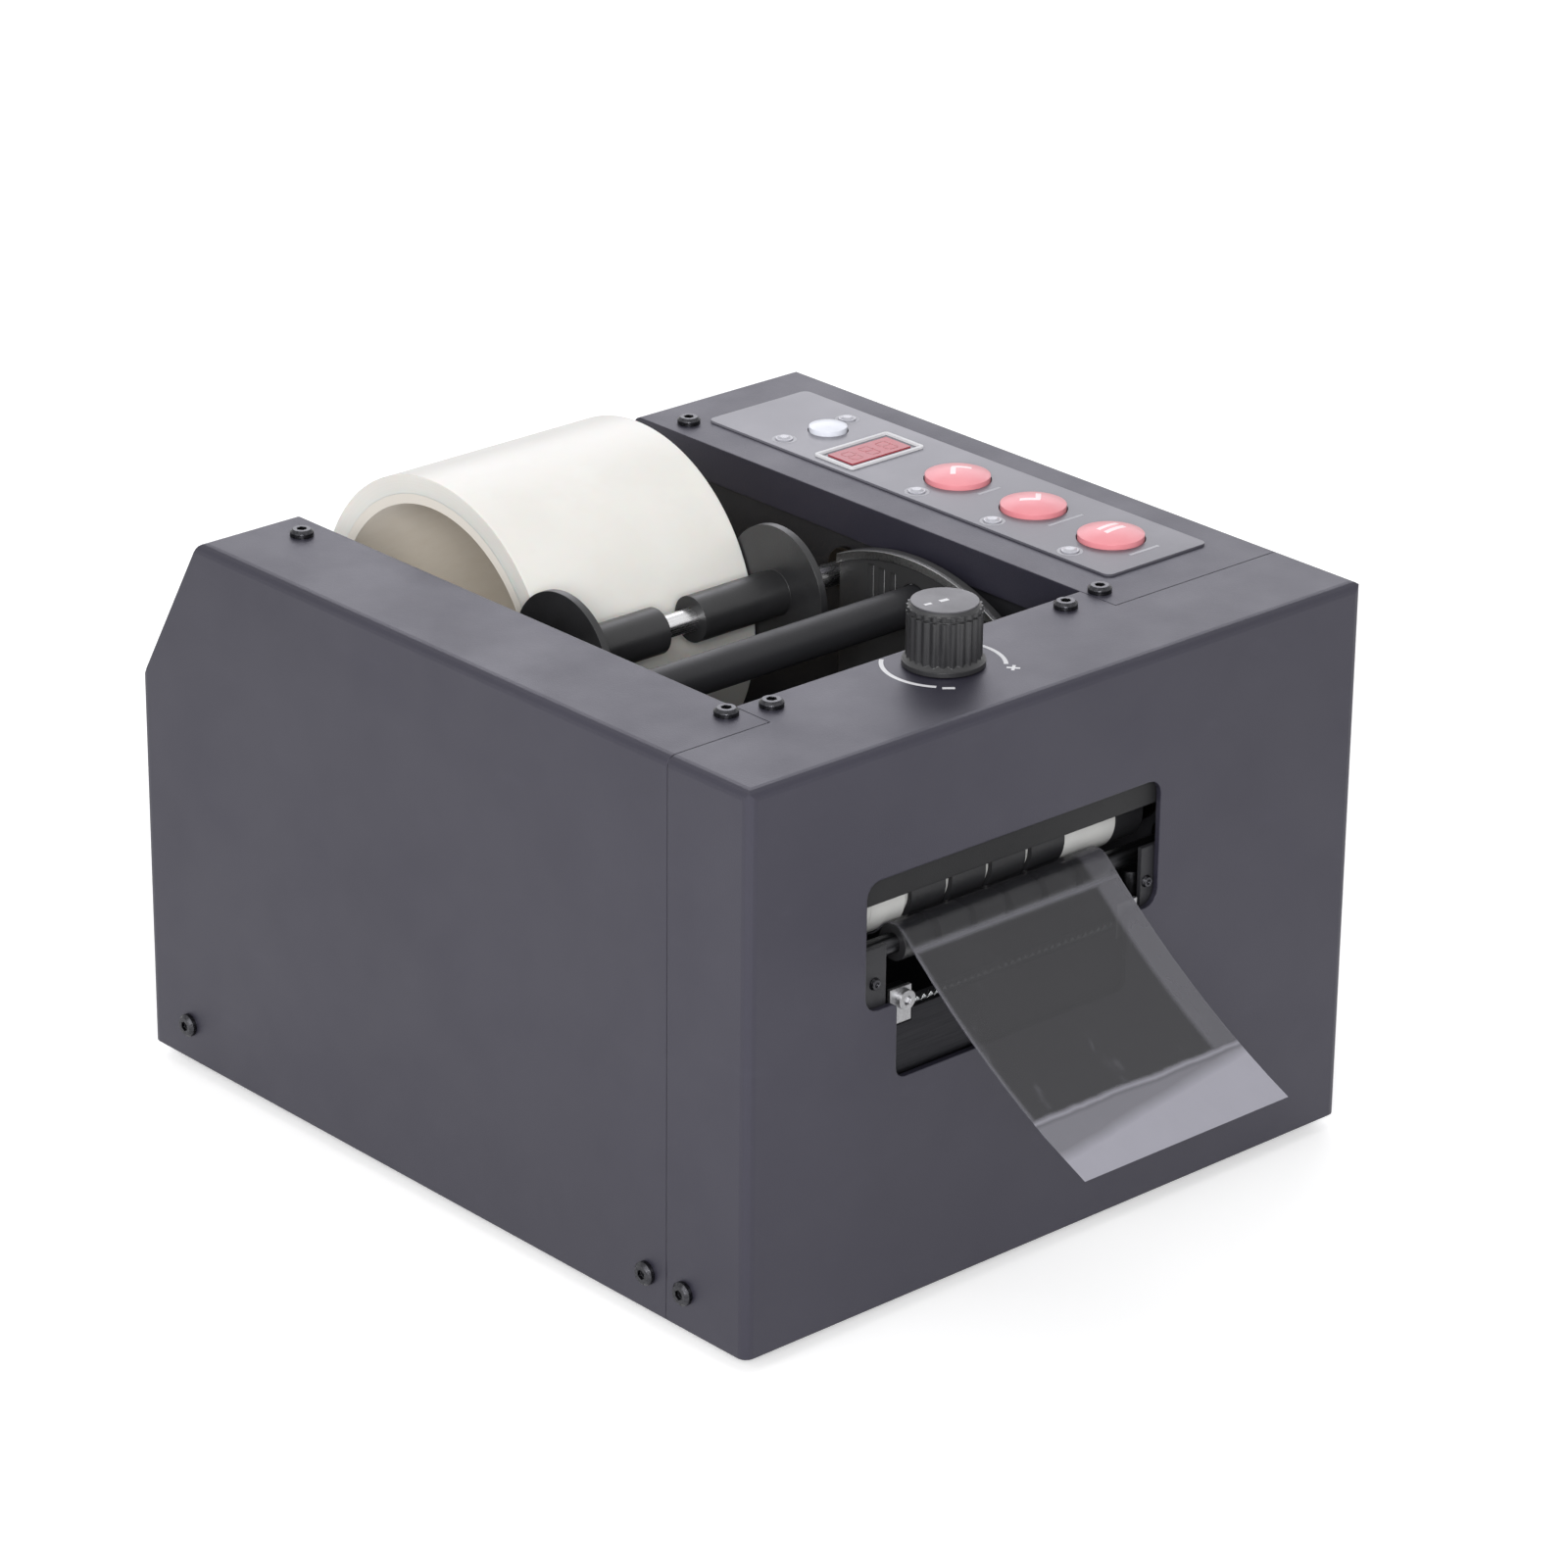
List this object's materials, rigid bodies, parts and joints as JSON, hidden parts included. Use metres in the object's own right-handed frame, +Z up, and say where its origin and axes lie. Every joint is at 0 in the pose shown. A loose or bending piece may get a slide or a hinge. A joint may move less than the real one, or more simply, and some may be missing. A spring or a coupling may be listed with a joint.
{
  "type": "electric tape dispenser",
  "caption": "Desktop electric tape dispenser: folded metal casing with an open roll bay, motor-driven feed rollers, rising cutter, push-button panel and length knob.",
  "frame": {"origin": "on the table, under the middle of the casing's footprint", "axes": "+X to the right as seen from the front, +Y to the back, +Z up; the tape leaves toward -Y"},
  "size_m": [0.2036, 0.2915, 0.164],
  "materials": {
    "casing": "satin powder coat",
    "inner_frame": "satin black paint",
    "black_screw": "black oxide",
    "steel": "bright ground steel",
    "bronze": "sintered bush",
    "foot_rubber": "soft black rubber",
    "core_card": "wound card tube",
    "tape": "wound tape",
    "tape_film": "clear tape",
    "black_plastic": "fine grained black plastic",
    "silicone": "grey silicone sleeve",
    "nip_rubber": "black rubber rings",
    "gear_plastic": "moulded gear",
    "brass": "cut brass pinion",
    "anodised": "black anodised",
    "supply_case": "bare aluminium",
    "coil": "painted frame",
    "knob_grey": "satin grey",
    "panel": "printed film",
    "panel_white": "white frame",
    "display_red": "red filter window",
    "button_red": "bright red cap",
    "button_white": "white cap",
    "lamp": "small lens",
    "board": "circuit board"
  },
  "bodies": {
    "chassis": {"base_plate": "casing", "rubber_feet": "foot_rubber", "left_cover": "casing", "right_cover": "casing", "front_cover": "casing", "cover_screws": "black_screw", "left_frame": "inner_frame", "right_frame": "inner_frame", "left_bushes": "bronze", "right_bushes": "bronze", "guide_bar": "inner_frame", "gear_guard": "inner_frame", "guard_rim": "steel", "tape_web": "tape_film", "drive_motor": "steel", "motor_bracket": "steel", "slot_guard": "inner_frame", "guide_posts": "steel", "nip_brackets": "inner_frame", "bracket_screws": "black_screw", "solenoid_body": "coil", "potentiometer": "coil", "panel_overlay": "panel", "display_frame": "panel_white", "display_window": "display_red", "indicator_lamps": "lamp", "control_board": "board", "power_supply": "supply_case", "power_inlet": "black_plastic", "switch_housing": "black_plastic"},
    "tape_roll": {"tape_core": "core_card", "tape_winding": "tape"},
    "front_roller": {"front_support_roller": "black_plastic"},
    "rear_roller": {"rear_support_roller": "black_plastic"},
    "spool": {"spool_shaft": "steel", "left_spool_hub": "black_plastic", "right_spool_hub": "black_plastic"},
    "feed_roller": {"feed_shaft": "steel", "feed_sleeve": "silicone", "feed_grips": "nip_rubber", "feed_gear": "gear_plastic"},
    "nip_roller": {"ring_shaft": "steel", "nip_rings": "nip_rubber"},
    "motor_rotor": {"drive_pinion": "brass"},
    "cutter": {"cutter_blade": "steel", "blade_carriage": "anodised", "blade_clamps": "steel", "clamp_screws": "steel", "solenoid_plunger": "steel"},
    "knob": {"speed_knob": "black_plastic", "knob_cap": "knob_grey", "pot_shaft": "steel"},
    "button_rear": {"rear_button": "button_red"},
    "button_middle": {"middle_button": "button_red"},
    "button_front": {"front_button": "button_red"},
    "button_white": {"white_button": "button_white"},
    "rocker": {"switch_rocker": "black_plastic"}
  },
  "joints": [
    {"name": "roll_spin", "type": "hinge", "parent": "chassis", "child": "tape_roll", "pos_m": [-0.0135, 0.0625, 0.114], "axis": [1, 0, 0], "continuous": true},
    {"name": "feed_spin", "type": "hinge", "parent": "chassis", "child": "feed_roller", "pos_m": [-0.0135, -0.094, 0.101], "axis": [1, 0, 0], "continuous": true},
    {"name": "nip_spin", "type": "hinge", "parent": "chassis", "child": "nip_roller", "pos_m": [-0.0135, -0.1062, 0.09245], "axis": [1, 0, 0], "continuous": true},
    {"name": "front_roller_spin", "type": "hinge", "parent": "chassis", "child": "front_roller", "pos_m": [-0.0135, 0.03136, 0.06952], "axis": [1, 0, 0], "continuous": true},
    {"name": "rear_roller_spin", "type": "hinge", "parent": "chassis", "child": "rear_roller", "pos_m": [-0.0135, 0.0933, 0.07001], "axis": [1, 0, 0], "continuous": true},
    {"name": "motor_spin", "type": "hinge", "parent": "chassis", "child": "motor_rotor", "pos_m": [-0.0135, -0.07051, 0.09245], "axis": [1, 0, 0], "continuous": true},
    {"name": "spool_spin", "type": "hinge", "parent": "chassis", "child": "spool", "pos_m": [-0.0135, 0.0105, 0.128], "axis": [1, 0, 0], "continuous": true},
    {"name": "cutter_slide", "type": "slide", "parent": "chassis", "child": "cutter", "axis": [0, 0, 1], "range_m": [0, 0.012]},
    {"name": "knob_turn", "type": "hinge", "parent": "chassis", "child": "knob", "pos_m": [-0.014, -0.087, 0.15], "axis": [0, 0, 1], "range_deg": [-135, 135]},
    {"name": "rocker_tilt", "type": "hinge", "parent": "chassis", "child": "rocker", "pos_m": [0.072, 0.112, 0.062], "axis": [1, 0, 0], "range_deg": [0, 20]},
    {"name": "rear_press", "type": "slide", "parent": "chassis", "child": "button_rear", "axis": [0, 0, -1], "range_m": [0, 0.0008], "stiffness_N_per_m": 400},
    {"name": "middle_press", "type": "slide", "parent": "chassis", "child": "button_middle", "axis": [0, 0, -1], "range_m": [0, 0.0008], "stiffness_N_per_m": 400},
    {"name": "front_press", "type": "slide", "parent": "chassis", "child": "button_front", "axis": [0, 0, -1], "range_m": [0, 0.0008], "stiffness_N_per_m": 400},
    {"name": "white_press", "type": "slide", "parent": "chassis", "child": "button_white", "axis": [0, 0, -1], "range_m": [0, 0.0008], "stiffness_N_per_m": 400}
  ],
  "couplings": [
    {"joint": "feed_spin", "follows": "roll_spin", "ratio": 4.7789},
    {"joint": "nip_spin", "follows": "roll_spin", "ratio": -10.089},
    {"joint": "front_roller_spin", "follows": "roll_spin", "ratio": -5.675},
    {"joint": "rear_roller_spin", "follows": "roll_spin", "ratio": -5.675},
    {"joint": "motor_spin", "follows": "roll_spin", "ratio": -8.4959}
  ]
}
